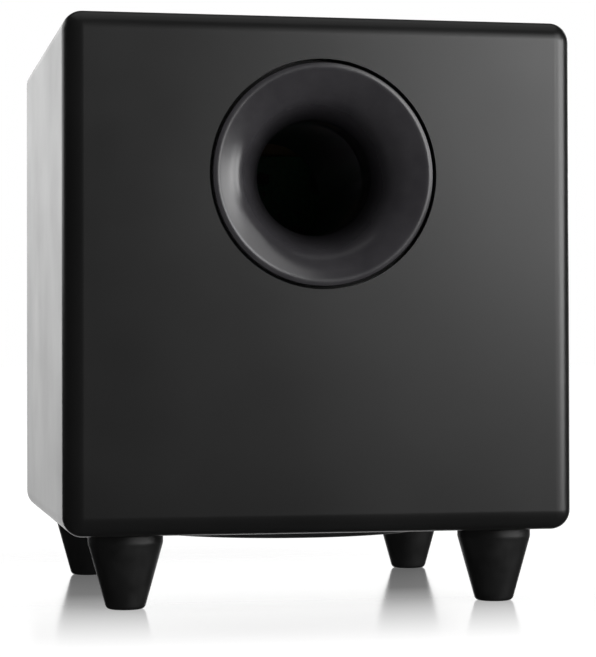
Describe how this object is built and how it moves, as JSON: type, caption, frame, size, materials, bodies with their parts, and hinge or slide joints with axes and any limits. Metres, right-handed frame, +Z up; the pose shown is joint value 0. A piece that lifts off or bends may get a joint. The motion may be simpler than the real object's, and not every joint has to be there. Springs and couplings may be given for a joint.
{
  "type": "subwoofer",
  "caption": "Compact cube-shaped powered subwoofer in black satin, with a large flared bass port in front, tapered feet, a down-firing driver and a plate amplifier in the back.",
  "frame": {"origin": "on the floor under the middle of the object's box, rear knobs included", "axes": "+Z up, -Y out of the front baffle and its port, +X to the right seen from the front"},
  "size_m": [0.28, 0.294, 0.321],
  "materials": {
    "lacquer": "satin",
    "port_plastic": "satin",
    "foam": "matte",
    "foot_plastic": "matte",
    "black_steel": "satin",
    "cone_pulp": "matte",
    "surround_rubber": "matte",
    "spider_cloth": "matte",
    "former_film": "satin",
    "copper_wire": "satin",
    "zinc_steel": "satin",
    "ferrite": "matte",
    "plate_paint": "matte",
    "aluminium": "satin",
    "circuit_board": "satin",
    "winding_tape": "matte",
    "switch_plastic": "satin",
    "jack_white": "satin",
    "jack_red": "satin",
    "led_green": "gloss",
    "screw_black": "satin",
    "polyester": "matte",
    "lead_red": "satin"
  },
  "bodies": {
    "cabinet": {"front_baffle": "lacquer", "rear_panel": "lacquer", "left_panel": "lacquer", "right_panel": "lacquer", "top_panel": "lacquer", "bottom_panel": "lacquer", "acoustic_wadding": "polyester", "port_flare": "port_plastic", "port_gasket": "foam", "port_tube": "port_plastic", "port_inner_flare": "port_plastic", "foot_front_left": "foot_plastic", "foot_front_right": "foot_plastic", "foot_rear_left": "foot_plastic", "foot_rear_right": "foot_plastic", "driver_flange": "black_steel", "driver_basket": "black_steel", "driver_gasket": "foam", "driver_surround": "surround_rubber", "driver_spider": "spider_cloth", "driver_top_plate": "zinc_steel", "driver_magnet": "ferrite", "driver_yoke": "zinc_steel", "driver_terminals": "circuit_board", "driver_screw_1": "screw_black", "driver_screw_2": "screw_black", "driver_screw_3": "screw_black", "driver_screw_4": "screw_black", "driver_screw_5": "screw_black", "driver_screw_6": "screw_black", "amp_plate": "plate_paint", "amp_gasket": "foam", "volume_pot": "zinc_steel", "crossover_pot": "zinc_steel", "phase_switch_housing": "zinc_steel", "status_led": "led_green", "rca_jack_left": "jack_white", "rca_jack_right": "jack_red", "power_switch_housing": "switch_plastic", "mains_inlet": "switch_plastic", "heat_sink": "aluminium", "amp_board": "circuit_board", "power_transformer": "winding_tape", "transformer_bolt": "zinc_steel", "amp_screw_1": "screw_black", "amp_screw_2": "screw_black", "amp_screw_3": "screw_black", "amp_screw_4": "screw_black", "amp_screw_5": "screw_black", "amp_screw_6": "screw_black", "speaker_lead": "lead_red"},
    "cone_assembly": {"driver_cone": "cone_pulp", "driver_dust_cap": "cone_pulp", "voice_coil_former": "former_film", "voice_coil_winding": "copper_wire"},
    "volume_control": {"volume_knob": "switch_plastic"},
    "crossover_control": {"crossover_knob": "switch_plastic"},
    "phase_switch": {"phase_slider": "switch_plastic"},
    "power_switch": {"power_rocker": "switch_plastic"}
  },
  "joints": [
    {"name": "woofer_travel", "type": "slide", "parent": "cabinet", "child": "cone_assembly", "axis": [0, 0, 1], "range_m": [-0.008, 0.008], "stiffness_N_per_m": 2400, "deforming": ["driver_surround", "driver_spider"]},
    {"name": "volume_turn", "type": "hinge", "parent": "cabinet", "child": "volume_control", "pos_m": [0.054, 0.133, 0.251], "axis": [0, 1, 0], "range_deg": [-150, 150]},
    {"name": "crossover_turn", "type": "hinge", "parent": "cabinet", "child": "crossover_control", "pos_m": [0.012, 0.133, 0.251], "axis": [0, 1, 0], "range_deg": [-150, 150]},
    {"name": "phase_slide", "type": "slide", "parent": "cabinet", "child": "phase_switch", "axis": [1, 0, 0], "range_m": [0, 0.004]},
    {"name": "power_rock", "type": "hinge", "parent": "cabinet", "child": "power_switch", "pos_m": [0.012, 0.133, 0.095], "axis": [1, 0, 0], "range_deg": [-18, 0]}
  ]
}
